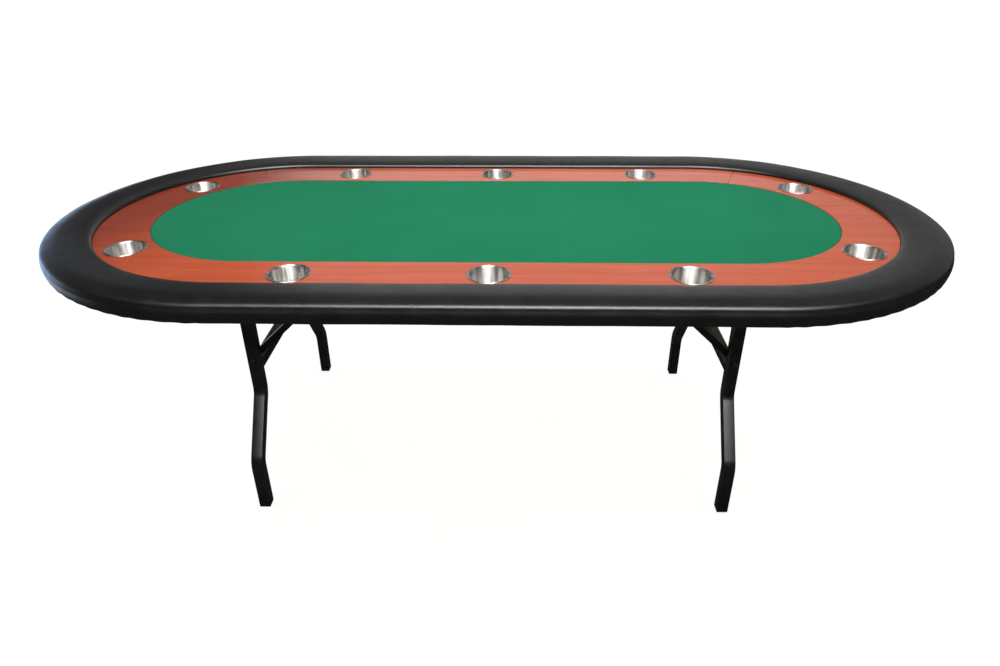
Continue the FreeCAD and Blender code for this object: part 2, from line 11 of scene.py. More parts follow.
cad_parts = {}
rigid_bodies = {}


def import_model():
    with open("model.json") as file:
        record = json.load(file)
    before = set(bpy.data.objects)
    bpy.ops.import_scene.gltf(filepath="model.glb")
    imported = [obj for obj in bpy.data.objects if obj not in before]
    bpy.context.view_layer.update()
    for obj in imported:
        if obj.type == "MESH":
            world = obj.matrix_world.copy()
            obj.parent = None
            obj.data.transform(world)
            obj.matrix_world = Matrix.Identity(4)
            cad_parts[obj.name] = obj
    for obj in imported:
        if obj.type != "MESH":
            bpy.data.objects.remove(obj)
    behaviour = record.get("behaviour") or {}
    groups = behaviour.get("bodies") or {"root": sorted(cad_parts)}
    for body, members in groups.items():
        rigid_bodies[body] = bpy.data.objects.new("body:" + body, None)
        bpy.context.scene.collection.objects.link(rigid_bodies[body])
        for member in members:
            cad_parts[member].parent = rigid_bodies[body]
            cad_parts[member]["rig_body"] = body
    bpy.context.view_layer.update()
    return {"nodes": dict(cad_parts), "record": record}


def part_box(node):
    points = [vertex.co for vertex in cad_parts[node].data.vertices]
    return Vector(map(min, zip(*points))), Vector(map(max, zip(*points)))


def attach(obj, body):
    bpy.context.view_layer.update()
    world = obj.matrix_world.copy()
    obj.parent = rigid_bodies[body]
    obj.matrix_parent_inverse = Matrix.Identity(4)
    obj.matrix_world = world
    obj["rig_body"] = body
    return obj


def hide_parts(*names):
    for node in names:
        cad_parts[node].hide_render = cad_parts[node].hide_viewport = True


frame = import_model()
MM = 0.001

# Sizes read from the frame.
DECK_LOW, DECK_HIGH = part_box("deck_board")
CLOTH_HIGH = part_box("playing_cloth")[1]
RAIL_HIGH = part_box("rail_cover")[1]
TRACK_LOW, TRACK_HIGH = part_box("racetrack_right")
DECK_RADIUS = DECK_HIGH.y
HALF_STRAIGHT = DECK_HIGH.x - DECK_RADIUS
CLOTH_RADIUS = CLOTH_HIGH.y
TRACK_TOP = TRACK_HIGH.z
TRACK_BOTTOM = TRACK_LOW.z
TRACK_OUTER = TRACK_HIGH.x - HALF_STRAIGHT
TRACK_INNER = CLOTH_RADIUS + 1 * MM
RAIL_INNER = TRACK_OUTER + 0.5 * MM
RAIL_OUTER = RAIL_HIGH.y
CUPS = sorted(n for n in frame["nodes"] if n.startswith("cup_"))


# The camera stands in front of the table, a little right of its middle, and looks down on it.
CAMERA_PLACE = Vector((0.0613, -1.9031, 1.4279))
CAMERA_PITCH = 0.5088
CAMERA_YAW = 0.0240
CAMERA_ROLL = -0.0046
CAMERA_LENS = 25.690
SENSOR_WIDTH = 36.0


def make_camera():
    data = bpy.data.cameras.new("camera")
    data.sensor_width = SENSOR_WIDTH
    data.lens = CAMERA_LENS
    data.clip_start = 0.05
    data.clip_end = 200
    camera = bpy.data.objects.new("camera", data)
    bpy.context.scene.collection.objects.link(camera)
    turn = Matrix.Rotation(CAMERA_YAW, 4, "Z")
    tilt = Matrix.Rotation(math.pi / 2 - CAMERA_PITCH, 4, "X")
    roll = Matrix.Rotation(CAMERA_ROLL, 4, "Z")
    camera.matrix_world = Matrix.Translation(CAMERA_PLACE) @ turn @ tilt @ roll
    bpy.context.scene.camera = camera


# Node helpers


class Shader:
    """A material with a principled shader, built node by node."""

    def __init__(self, name):
        self.material = bpy.data.materials.new(name)
        self.material.use_nodes = True
        self.tree = self.material.node_tree
        self.shader = self.tree.nodes["Principled BSDF"]
        self.coordinates = self.add("ShaderNodeTexCoord").outputs["Object"]

    def add(self, kind, **settings):
        node = self.tree.nodes.new(kind)
        for key, value in settings.items():
            setattr(node, key, value)
        return node

    def connect(self, output, target):
        self.tree.links.new(output, target)

    def set(self, **values):
        for key, value in values.items():
            self.shader.inputs[key.replace("_", " ")].default_value = value

    def place(self, scale, source=None):
        mapping = self.add("ShaderNodeMapping")
        mapping.inputs["Scale"].default_value = scale
        self.connect(source or self.coordinates, mapping.inputs["Vector"])
        return mapping.outputs["Vector"]

    def noise(self, scale, detail=3.0, roughness=0.5, vector=None, distortion=0.0):
        node = self.add("ShaderNodeTexNoise")
        node.inputs["Scale"].default_value = scale
        node.inputs["Detail"].default_value = detail
        node.inputs["Roughness"].default_value = roughness
        node.inputs["Distortion"].default_value = distortion
        self.connect(vector or self.coordinates, node.inputs["Vector"])
        return node.outputs["Fac"]

    def cells(self, scale, feature="F1", vector=None):
        node = self.add("ShaderNodeTexVoronoi", feature=feature)
        node.inputs["Scale"].default_value = scale
        self.connect(vector or self.coordinates, node.inputs["Vector"])
        return node.outputs["Distance"]

    def ramp(self, source, *stops):
        node = self.add("ShaderNodeValToRGB")
        ramp = node.color_ramp
        while len(ramp.elements) < len(stops):
            ramp.elements.new(0.5)
        for element, (place, colour) in zip(ramp.elements, stops):
            element.position = place
            element.color = (*colour, 1.0)
        self.connect(source, node.inputs["Fac"])
        return node.outputs["Color"]

    def span(self, source, low, high, start=0.0, end=1.0):
        node = self.add("ShaderNodeMapRange")
        node.inputs["From Min"].default_value = start
        node.inputs["From Max"].default_value = end
        node.inputs["To Min"].default_value = low
        node.inputs["To Max"].default_value = high
        self.connect(source, node.inputs["Value"])
        return node.outputs["Result"]

    def math(self, operation, first, second):
        node = self.add("ShaderNodeMath", operation=operation)
        for value, socket in zip((first, second), node.inputs):
            if isinstance(value, (int, float)):
                socket.default_value = value
            else:
                self.connect(value, socket)
        return node.outputs["Value"]

    def mix(self, blend, factor, first, second):
        node = self.add("ShaderNodeMix", data_type="RGBA", blend_type=blend)
        sockets = [s for s in node.inputs if s.type == "RGBA"]
        if isinstance(factor, (int, float)):
            node.inputs["Factor"].default_value = factor
        else:
            self.connect(factor, node.inputs["Factor"])
        for value, socket in zip((first, second), sockets):
            if isinstance(value, tuple):
                socket.default_value = (*value, 1.0)
            else:
                self.connect(value, socket)
        return next(s for s in node.outputs if s.type == "RGBA")

    def bump(self, height, strength, distance, below=None):
        node = self.add("ShaderNodeBump")
        node.inputs["Strength"].default_value = strength
        node.inputs["Distance"].default_value = distance
        self.connect(height, node.inputs["Height"])
        if below is not None:
            self.connect(below, node.inputs["Normal"])
        return node.outputs["Normal"]

    def wire(self, **outputs):
        for key, output in outputs.items():
            self.connect(output, self.shader.inputs[key.replace("_", " ")])
        return self.material


# Materials


def cloth_material():
    """Green speed cloth: fine weave, soft fibres and faint cloudiness."""
    s = Shader("green_speed_cloth")
    cloud = s.noise(3.2, 4.0, 0.55)
    colour = s.ramp(cloud, (0.30, (0.0125, 0.244, 0.112)), (0.72, (0.0160, 0.276, 0.132)))
    fibre = s.noise(700.0, 2.0, 0.6)
    shade = s.ramp(fibre, (0.3, (0.62, 0.66, 0.62)), (0.7, (1.12, 1.1, 1.12)))
    colour = s.mix("MULTIPLY", 0.30, colour, shade)
    along = s.noise(1.0, 2.0, 0.5, s.place((90.0, 1400.0, 1.0)))
    across = s.noise(1.0, 2.0, 0.5, s.place((1400.0, 90.0, 1.0)))
    weave = s.math("ADD", along, across)
    normal = s.bump(weave, 0.35, 0.25 * MM)
    normal = s.bump(fibre, 0.25, 0.2 * MM, normal)
    s.set(Roughness=1.0, Sheen_Weight=0.02, Sheen_Roughness=0.6, Specular_IOR_Level=0.03)
    return s.wire(Base_Color=colour, Normal=normal)


def lacquer_material():
    """Red mahogany veneer under a thick gloss coat, its grain along the table, with painted shade darkening
    the left end.
    """
    s = Shader("red_mahogany_lacquer")
    figure = s.noise(1.0, 5.0, 0.55, s.place((2.2, 38.0, 8.0)), 0.6)
    colour = s.ramp(
        figure, (0.28, (0.680, 0.094, 0.024)), (0.50, (0.790, 0.122, 0.036)), (0.74, (0.850, 0.152, 0.048))
    )
    pores = s.noise(1.0, 3.0, 0.65, s.place((30.0, 1150.0, 60.0)))
    pore_shade = s.ramp(pores, (0.34, (0.72, 0.62, 0.60)), (0.52, (1.0, 1.0, 1.0)))
    colour = s.mix("MULTIPLY", 0.35, colour, pore_shade)
    broad = s.noise(2.4, 2.0, 0.5)
    broad_shade = s.ramp(broad, (0.3, (0.86, 0.82, 0.80)), (0.7, (1.08, 1.06, 1.04)))
    colour = s.mix("MULTIPLY", 0.30, colour, broad_shade)
    # Painted shade: the colour darkens towards the left end, most towards its back, where the light falls
    # dimmer.
    split = s.add("ShaderNodeSeparateXYZ")
    s.connect(s.coordinates, split.inputs["Vector"])
    leftward = s.math("SUBTRACT", s.math("MULTIPLY", split.outputs["Y"], 0.6), split.outputs["X"])
    painted_left_shade = s.ramp(
        leftward, (0.55, (1.0, 1.0, 1.0)), (0.75, (0.84, 0.78, 0.74)), (0.98, (0.52, 0.42, 0.38))
    )
    colour = s.mix("MULTIPLY", 1.0, colour, painted_left_shade)
    peel = s.bump(s.noise(70.0, 2.0, 0.4), 0.04, 0.25 * MM)
    s.set(Roughness=0.5, Specular_IOR_Level=0.1, Coat_Weight=1.0, Coat_Roughness=0.05, Coat_IOR=1.5)
    return s.wire(Base_Color=colour, Coat_Normal=peel)


def vinyl_material():
    """Black pebbled vinyl, its grain catching the light."""
    s = Shader("black_pebbled_vinyl")
    warp = s.noise(160.0, 2.0, 0.5)
    pebbles = s.cells(360.0, "SMOOTH_F1")
    fine = s.cells(900.0, "F1")
    height = s.math("ADD", pebbles, s.math("MULTIPLY", fine, 0.45))
    height = s.math("ADD", height, s.math("MULTIPLY", warp, 0.6))
    normal = s.bump(height, 0.42, 0.42 * MM)
    wear = s.noise(7.0, 4.0, 0.6)
    colour = s.ramp(wear, (0.3, (0.0035, 0.0034, 0.0033)), (0.75, (0.0062, 0.0060, 0.0057)))
    roughness = s.span(s.noise(24.0, 3.0, 0.5), 0.30, 0.38, 0.3, 0.7)
    s.set(Specular_IOR_Level=0.5)
    return s.wire(Base_Color=colour, Roughness=roughness, Normal=normal)


def cup_material():
    """Drawn stainless steel with painted reflection bands darkening it up and down the wall, its reflections
    running up and down the wall.
    """
    s = Shader("drawn_stainless_steel")
    lines = s.noise(1.0, 2.0, 0.6, s.place((4.0, 4.0, 2600.0)))
    normal = s.bump(lines, 0.10, 0.04 * MM)
    smudge = s.noise(55.0, 3.0, 0.6)
    colour = s.ramp(smudge, (0.3, (0.78, 0.755, 0.72)), (0.7, (0.86, 0.84, 0.815)))
    # Painted reflection: dark bands up and down the wall stand in for the banded reflections of the room.
    reflection_bands = s.noise(1.0, 3.0, 0.6, s.place((95.0, 95.0, 1.5)))
    painted_band_shade = s.ramp(reflection_bands, (0.36, (0.34, 0.33, 0.32)), (0.60, (1.0, 1.0, 1.0)))
    colour = s.mix("MULTIPLY", 1.0, colour, painted_band_shade)
    roughness = s.span(smudge, 0.36, 0.44, 0.3, 0.7)
    tangent = s.add("ShaderNodeTangent", direction_type="RADIAL", axis="Z")
    s.set(Metallic=1.0, Anisotropic=0.9, Anisotropic_Rotation=0.25)
    return s.wire(Base_Color=colour, Roughness=roughness, Normal=normal, Tangent=tangent.outputs["Tangent"])


def powder_coat_material():
    """Black powder coat with its fine orange-peel texture."""
    s = Shader("black_powder_coat")
    normal = s.bump(s.noise(1300.0, 2.0, 0.5), 0.22, 0.12 * MM)
    normal = s.bump(s.noise(260.0, 2.0, 0.5), 0.12, 0.2 * MM, normal)
    dust = s.noise(14.0, 4.0, 0.6)
    colour = s.ramp(dust, (0.35, (0.0035, 0.0034, 0.0032)), (0.8, (0.0085, 0.0082, 0.0076)))
    roughness = s.span(dust, 0.24, 0.34, 0.3, 0.7)
    s.set(Specular_IOR_Level=0.3)
    return s.wire(Base_Color=colour, Roughness=roughness, Normal=normal)


def foot_material():
    """Black moulded plastic, scuffed in fine streaks."""
    s = Shader("black_moulded_plastic")
    normal = s.bump(s.noise(900.0, 2.0, 0.5), 0.2, 0.1 * MM)
    scuffs = s.noise(1.0, 4.0, 0.7, s.place((120.0, 120.0, 900.0)))
    colour = s.ramp(scuffs, (0.45, (0.011, 0.011, 0.011)), (0.72, (0.045, 0.044, 0.042)))
    roughness = s.span(scuffs, 0.45, 0.7, 0.3, 0.7)
    return s.wire(Base_Color=colour, Roughness=roughness, Normal=normal)


def fastener_material():
    """Black-oxide steel with rubbed high spots."""
    s = Shader("black_oxide_steel")
    rubbed = s.noise(420.0, 4.0, 0.6)
    colour = s.ramp(rubbed, (0.45, (0.030, 0.029, 0.028)), (0.75, (0.16, 0.155, 0.15)))
    normal = s.bump(s.noise(1500.0, 2.0, 0.5), 0.15, 0.06 * MM)
    roughness = s.span(rubbed, 0.28, 0.42, 0.3, 0.7)
    s.set(Metallic=0.9)
    return s.wire(Base_Color=colour, Roughness=roughness, Normal=normal)


PAIR_OF_PLIES = 3.2 * MM


def plywood_material():
    """Birch plywood: long face grain on top and underneath, thin plies at the edge."""
    s = Shader("birch_plywood")
    grain = s.noise(1.0, 5.0, 0.6, s.place((5.0, 70.0, 5.0)), 0.8)
    face = s.ramp(grain, (0.30, (0.43, 0.27, 0.14)), (0.55, (0.58, 0.41, 0.24)), (0.78, (0.66, 0.50, 0.32)))
    fleck = s.noise(1.0, 3.0, 0.6, s.place((60.0, 900.0, 60.0)))
    fleck_shade = s.ramp(fleck, (0.36, (0.66, 0.60, 0.55)), (0.52, (1.0, 1.0, 1.0)))
    face = s.mix("MULTIPLY", 0.45, face, fleck_shade)
    split = s.add("ShaderNodeSeparateXYZ")
    s.connect(s.coordinates, split.inputs["Vector"])
    plies = s.math("FRACT", s.math("MULTIPLY", split.outputs["Z"], 1 / PAIR_OF_PLIES), 0.0)
    edge = s.ramp(plies, (0.42, (0.60, 0.43, 0.26)), (0.58, (0.30, 0.17, 0.09)))
    normals = s.add("ShaderNodeSeparateXYZ")
    s.connect(s.add("ShaderNodeNewGeometry").outputs["Normal"], normals.inputs["Vector"])
    upright = s.math("GREATER_THAN", s.math("ABSOLUTE", normals.outputs["Z"], 0.0), 0.5)
    colour = s.mix("MIX", upright, edge, face)
    normal = s.bump(fleck, 0.2, 0.15 * MM)
    s.set(Roughness=0.62)
    return s.wire(Base_Color=colour, Normal=normal)


MATERIALS = {
    "cloth": cloth_material(),
    "racetrack_lacquer": lacquer_material(),
    "vinyl": vinyl_material(),
    "cup_steel": cup_material(),
    "leg_steel": powder_coat_material(),
    "foot_plastic": foot_material(),
    "fastener_steel": fastener_material(),
    "plywood": plywood_material(),
}


# Mesh helpers


def new_piece(name, mesh, slot, body, *nodes):
    """Links a finished mesh as a piece of the object."""
    piece = bpy.data.objects.new(name, mesh)
    bpy.context.scene.collection.objects.link(piece)
    mesh.materials.clear()
    mesh.materials.append(MATERIALS[slot])
    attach(piece, body)
    if nodes:
        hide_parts(*nodes)
    return piece


def body_of_node(node):
    """The body that a CAD node rides on."""
    return frame["nodes"][node]["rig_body"]


def smooth_mesh(name, vertices, faces, sharp_degrees=180.0):
    """A smooth-shaded mesh that keeps edges sharper than the given angle."""
    mesh = bpy.data.meshes.new(name)
    mesh.from_pydata(vertices, [], faces)
    mesh.validate()
    mesh.polygons.foreach_set("use_smooth", [True] * len(mesh.polygons))
    if sharp_degrees < 180.0:
        mesh.set_sharp_from_angle(angle=math.radians(sharp_degrees))
    mesh.update()
    return mesh


def stadium_stations(straight_steps, bend_steps):
    """Stations once round a stadium, anticlockwise from the front left: the nearest point of the middle
    line and the outward direction."""
    stations = []
    for sign in (1, -1):
        for i in range(straight_steps):
            x = sign * HALF_STRAIGHT * (2 * i / straight_steps - 1)
            stations.append((Vector((x, 0, 0)), Vector((0, -sign, 0))))
        for i in range(bend_steps):
            turn = math.pi * i / bend_steps
            out = Vector((math.sin(turn), -math.cos(turn), 0)) * sign
            stations.append((Vector((sign * HALF_STRAIGHT, 0, 0)), out))
    return stations


def loft(stations, ring_at, closed):
    """Vertices and quads through one ring of (radius, height) for each station."""
    vertices, faces = [], []
    count = 0
    for index, (centre, out) in enumerate(stations):
        ring = ring_at(index, centre, out)
        count = len(ring)
        for radius, height in ring:
            point = centre + out * radius
            vertices.append((point.x, point.y, height))
    total = len(stations)
    for i in range(total):
        j = (i + 1) % total
        for k in range(count if closed else count - 1):
            m = (k + 1) % count
            faces.append((i * count + k, j * count + k, j * count + m, i * count + m))
    return vertices, faces


def smooth_curve(points, steps):
    """A smooth line (Catmull-Rom) through the points, each span in that many steps."""
    padded = [points[0] * 2 - points[1]] + points + [points[-1] * 2 - points[-2]]
    line = []
    for a, b, c, d in zip(padded, padded[1:], padded[2:], padded[3:]):
        for i in range(steps):
            t = i / steps
            square = (2 * a - 5 * b + 4 * c - d) * t**2
            cube = (3 * b - a - 3 * c + d) * t**3
            line.append(0.5 * (2 * b + (c - a) * t + square + cube))
    line.append(points[-1])
    return line


# The rail

RAIL_SWELL = 0.7 * MM
RAIL_RIPPLE = 0.22 * MM
GATHER_DEPTH = 0.5 * MM
GATHERS_PER_RADIAN = 75.0
RAIL_TUCK = 47 * MM


def rail_crown():
    """The rail's outer curve as (radius, height), from the racetrack over the crest to under the deck."""
    inner, outer, top, deck = RAIL_INNER, RAIL_OUTER, TRACK_TOP, DECK_LOW.z
    crest = RAIL_HIGH.z
    points = [
        (inner + 0.3 * MM, top - 4 * MM),
        (inner, top + 1 * MM),
        (inner + 0.6 * MM, top + 6 * MM),
        (inner + 5 * MM, top + 10.4 * MM),
        (inner + 20 * MM, top + 14.6 * MM),
        (inner + 40 * MM, top + 17.2 * MM),
        (inner + 70 * MM, crest),
        (outer - 30 * MM, top + 17.4 * MM),
        (outer - 7.5 * MM, top + 10.2 * MM),
        (outer - 2.1 * MM, top - 1.2 * MM),
        (outer, top - 14.1 * MM),
        (outer - 4.5 * MM, deck - 3.4 * MM),
        (outer - 15 * MM, deck - 7.9 * MM),
        (outer - 31 * MM, deck - 5.4 * MM),
        (outer - RAIL_TUCK, deck - 2.6 * MM),
    ]
    return smooth_curve([Vector(p) for p in points], 8)


def make_rail():
    """The padded rail, with the slight unevenness of hand-pulled vinyl, and gathers under its bends."""
    crown = rail_crown()
    last = len(crown) - 1
    tangents = [(crown[min(i + 1, last)] - crown[max(i - 1, 0)]).normalized() for i in range(len(crown))]
    stations = stadium_stations(300, 300)
    deck_edge = [
        Vector((RAIL_OUTER - RAIL_TUCK, DECK_LOW.z)),
        Vector((DECK_RADIUS + 1 * MM, DECK_LOW.z)),
        Vector((DECK_RADIUS + 1 * MM, TRACK_BOTTOM + 1 * MM)),
        Vector((RAIL_INNER + 0.3 * MM, TRACK_BOTTOM + 1 * MM)),
    ]

    def ring_at(index, centre, out):
        ring = []
        bend = abs(out.x) > 1e-6
        for number, (point, tangent) in enumerate(zip(crown, tangents)):
            normal = Vector((tangent.y, -tangent.x))
            place = centre + out * point.x + Vector((0, 0, point.y))
            swell = noise.noise(place * 6.0) * RAIL_SWELL + noise.noise(place * 26.0) * RAIL_RIPPLE
            free = min(1.0, number / 14.0, (last - number) / 10.0)
            gather = 0.0
            if bend and point.y < DECK_LOW.z - 1 * MM:
                angle = math.atan2(out.x, -out.y)
                phase = 2.0 * noise.noise(place * 9.0)
                gather = math.sin(angle * GATHERS_PER_RADIAN + phase) * GATHER_DEPTH
            moved = point - normal * (swell * free + gather * free)
            ring.append((moved.x, moved.y))
        return ring + [(p.x, p.y) for p in deck_edge]

    vertices, faces = loft(stations, ring_at, True)
    mesh = smooth_mesh("rail_padding", vertices, faces, 60.0)
    rail = new_piece("rail_padding", mesh, "vinyl", "table_top", "rail_cover", "rail_foam")


# The cloth

CLOTH_ROLL = 2.2 * MM
CLOTH_TURN_DOWN = 6.0 * MM
CLOTH_WAVE = 0.22 * MM


def make_cloth():
    """The stretched cloth: flat, rolled down at its edge into the gap beside the racetrack."""
    top, radius = CLOTH_HIGH.z, CLOTH_RADIUS
    roll, depth = CLOTH_ROLL, CLOTH_TURN_DOWN
    edge = [(radius - 0.1 * MM, top - depth), (radius, top - roll)]
    for i in range(1, 7):
        turn = math.pi / 2 * i / 6
        edge.append((radius - roll + roll * math.cos(turn), top - roll + roll * math.sin(turn)))
    inward = [radius - roll - (radius - roll) * (i / 34) ** 1.15 for i in range(1, 34)]
    rings = edge + [(r, top) for r in inward]
    stations = stadium_stations(150, 60)

    def ring_at(index, centre, out):
        ring = []
        for radius_here, height in rings:
            place = centre + out * radius_here
            wave = noise.noise(place * 7.0) * CLOTH_WAVE if height == top else 0.0
            ring.append((radius_here, height + wave))
        return ring

    vertices, faces = loft(stations, ring_at, False)
    count = len(rings)
    middle = [i * count + count - 1 for i in range(len(stations))]
    faces.append(tuple(middle))
    mesh = smooth_mesh("playing_cloth_sheet", vertices, faces)
    cloth = new_piece("playing_cloth_sheet", mesh, "cloth", "table_top", "playing_cloth", "playing_foam")


# The racetrack

SEAM_TURN = math.radians(20.6)
# How far each section's end stands back from the seam's middle.
SEAM_GAP = 0.12 * MM
CUP_HOLE_RADIUS = 48.5 * MM
TRACK_EDGE = 1.0 * MM
# Below the turn from one facet of the eased edge to the next, so that the top stays flat in its shading.
TRACK_SHARP = math.radians(6)


def arc_points(centre_x, radius, start, end):
    """Plan points on an arc, with turns counted from straight ahead towards the right."""
    steps = max(2, int(abs(end - start) / math.radians(1.5)))
    turns = [start + (end - start) * i / steps for i in range(steps + 1)]
    return [(centre_x + radius * math.sin(t), -radius * math.cos(t)) for t in turns]


def track_outline(name):
    """The plan outline of one racetrack section, its seams set back a hair."""
    gap = SEAM_GAP / TRACK_INNER
    a, b = SEAM_TURN + gap, math.pi - SEAM_TURN - gap
    if name == "racetrack_right":
        return arc_points(HALF_STRAIGHT, TRACK_OUTER, a, b) + arc_points(HALF_STRAIGHT, TRACK_INNER, b, a)
    if name == "racetrack_left":
        return [(-x, -y) for x, y in track_outline("racetrack_right")]
    c = SEAM_TURN - gap
    outline = arc_points(-HALF_STRAIGHT, TRACK_OUTER, -c, 0) + arc_points(HALF_STRAIGHT, TRACK_OUTER, 0, c)
    outline += arc_points(HALF_STRAIGHT, TRACK_INNER, c, 0) + arc_points(-HALF_STRAIGHT, TRACK_INNER, 0, -c)
    if name == "racetrack_front":
        return outline
    return [(-x, -y) for x, y in outline]


def make_track_section(name):
    """One section of the racetrack with eased edges and its cup holes."""
    low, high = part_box(name)
    shape = bpy.data.curves.new(name + "_panel", "CURVE")
    shape.dimensions = "2D"
    shape.fill_mode = "BOTH"
    shape.extrude = (high.z - low.z) / 2 - TRACK_EDGE
    shape.bevel_depth = TRACK_EDGE
    shape.bevel_resolution = 3
    shape.offset = -TRACK_EDGE
    loops = [track_outline(name)]
    long_side = name.endswith(("_front", "_back"))
    for cup in CUPS:
        cup_low, cup_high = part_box(cup)
        centre = (cup_low + cup_high) / 2
        in_box = low.x < centre.x < high.x and low.y < centre.y < high.y
        if in_box and long_side == (abs(centre.x) < HALF_STRAIGHT):
            turns = [2 * math.pi * i / 96 for i in range(96)]
            hole = [(CUP_HOLE_RADIUS * math.cos(t), CUP_HOLE_RADIUS * math.sin(t)) for t in turns]
            loops.append([(centre.x + x, centre.y + y) for x, y in hole])
    for loop in loops:
        spline = shape.splines.new("POLY")
        spline.points.add(len(loop) - 1)
        for point, (x, y) in zip(spline.points, loop):
            point.co = (x, y, 0, 1)
        spline.use_cyclic_u = True
    holder = bpy.data.objects.new("track_outline", shape)
    bpy.context.scene.collection.objects.link(holder)
    mesh = bpy.data.meshes.new_from_object(holder.evaluated_get(bpy.context.evaluated_depsgraph_get()))
    bpy.data.objects.remove(holder)
    mesh.transform(Matrix.Translation((0, 0, (low.z + high.z) / 2)))
    tidy = bmesh.new()
    tidy.from_mesh(mesh)
    bmesh.ops.remove_doubles(tidy, verts=tidy.verts, dist=0.01 * MM)
    bmesh.ops.recalc_face_normals(tidy, faces=tidy.faces)
    tidy.to_mesh(mesh)
    tidy.free()
    mesh.polygons.foreach_set("use_smooth", [True] * len(mesh.polygons))
    mesh.set_sharp_from_angle(angle=TRACK_SHARP)
    new_piece(name + "_panel", mesh, "racetrack_lacquer", "table_top", name)


# The cup holders

CUP_STEPS = 112


def make_cup(node):
    """A drawn cup: rolled rim, rounded lip, tapered wall, and a base with rounded edge and a pressed ring."""
    low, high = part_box(node)
    centre = (low + high) / 2
    rim = (high.x - low.x) / 2
    mouth = rim - 5.8 * MM
    base = mouth - 2.0 * MM
    wall = 0.9 * MM
    fillet = 8 * MM
    lip = 2.3 * MM
    top, seat, bottom = high.z, TRACK_TOP, low.z
    profile = [(0.5 * MM, bottom), (base - fillet, bottom)]
    for i in range(1, 6):
        turn = math.pi / 2 * i / 5
        profile.append((base - fillet + fillet * math.sin(turn), bottom + fillet - fillet * math.cos(turn)))
    profile += [(mouth - 0.3 * MM, seat - 3 * MM), (mouth, seat - 1 * MM)]
    profile.append((mouth + 0.6 * MM, seat + 0.05 * MM))
    profile.append((rim - 1.0 * MM, seat + 0.05 * MM))
    roll = (top - seat) / 2
    for i in range(7):
        turn = math.pi * i / 6
        profile.append((rim - roll + roll * math.sin(turn), seat + roll - roll * math.cos(turn) * 0.94))
    lip_start, lip_top = mouth + 1.4 * MM, top - 0.35 * MM
    profile += [(rim - 3.6 * MM, top - 0.25 * MM), (lip_start, lip_top)]
    for i in range(1, 6):
        turn = math.pi / 2 * i / 5
        profile.append((lip_start - lip * math.sin(turn), lip_top - lip * (1 - math.cos(turn))))
    profile += [(base - wall + 0.1 * MM, bottom + 14 * MM), (base - wall, bottom + 9 * MM)]
    inside = fillet - wall
    for i in range(1, 6):
        turn = math.pi / 2 * (1 - i / 5)
        profile.append((base - fillet + inside * math.sin(turn), bottom + fillet - inside * math.cos(turn)))
    profile += [(base - 14 * MM, bottom + wall), (base - 16 * MM, bottom + wall + 0.6 * MM)]
    profile += [(base - 18 * MM, bottom + wall), (0.5 * MM, bottom + wall)]
    vertices, faces = [], []
    count = len(profile)
    for i in range(CUP_STEPS):
        turn = 2 * math.pi * i / CUP_STEPS
        for radius, height in profile:
            x, y = radius * math.cos(turn), radius * math.sin(turn)
            vertices.append((centre.x + x, centre.y + y, height))
    for i in range(CUP_STEPS):
        j = (i + 1) % CUP_STEPS
        for k in range(count - 1):
            faces.append((i * count + k, j * count + k, j * count + k + 1, i * count + k + 1))
    faces.append(tuple(i * count for i in reversed(range(CUP_STEPS))))
    faces.append(tuple(i * count + count - 1 for i in range(CUP_STEPS)))
    mesh = smooth_mesh(node + "_steel", vertices, faces, 50.0)
    new_piece(node + "_steel", mesh, "cup_steel", body_of_node(node), node)


# Metalwork: each CAD piece again with its edges rounded


def make_rounded(node, slot, radius, segments=3):
    """A CAD node's shape as a piece with its square edges rounded."""
    work = bmesh.new()
    work.from_mesh(frame["nodes"][node].data)
    bmesh.ops.remove_doubles(work, verts=work.verts, dist=0.005 * MM)
    bmesh.ops.dissolve_limit(work, angle_limit=math.radians(0.5), verts=work.verts, edges=work.edges)
    folds = [edge for edge in work.edges if len(edge.link_faces) == 2]
    sharp = [edge for edge in folds if edge.calc_face_angle(0.0) > math.radians(40)]
    bmesh.ops.bevel(
        work, geom=sharp, offset=radius, offset_type="OFFSET", segments=segments, profile=0.5, affect="EDGES",
        clamp_overlap=True,
    )
    mesh = bpy.data.meshes.new(node + "_finish")
    work.to_mesh(mesh)
    work.free()
    mesh.polygons.foreach_set("use_smooth", [True] * len(mesh.polygons))
    mesh.set_sharp_from_angle(angle=math.radians(38))
    new_piece(node + "_finish", mesh, slot, body_of_node(node), node)


def make_metalwork():
    """The leg frames and their fittings."""
    for node in sorted(frame["nodes"]):
        if node.endswith("_leg"):
            make_rounded(node, "leg_steel", 3.0 * MM)
        elif node.endswith("crossbar"):
            make_rounded(node, "leg_steel", 2.5 * MM)
        elif node.endswith("_foot_cap"):
            make_rounded(node, "foot_plastic", 0.8 * MM)
        elif node.endswith(("_lower_brace", "_upper_brace")):
            make_rounded(node, "leg_steel", 1.6 * MM)
        elif node.endswith(("_leg_saddle", "_brace_anchor", "_pivot_tube")):
            make_rounded(node, "leg_steel", 0.5 * MM, 2)


def paint_remaining_nodes():
    """Every CAD node that still shows takes its own material."""
    slots = {s["node"]: s["material_slot"] for s in frame["record"]["subparts"]}
    for node, piece in frame["nodes"].items():
        if not piece.hide_render:
            piece.data.materials.clear()
            piece.data.materials.append(MATERIALS[slots[node]])


# The studio

AMBIENT = 0.55


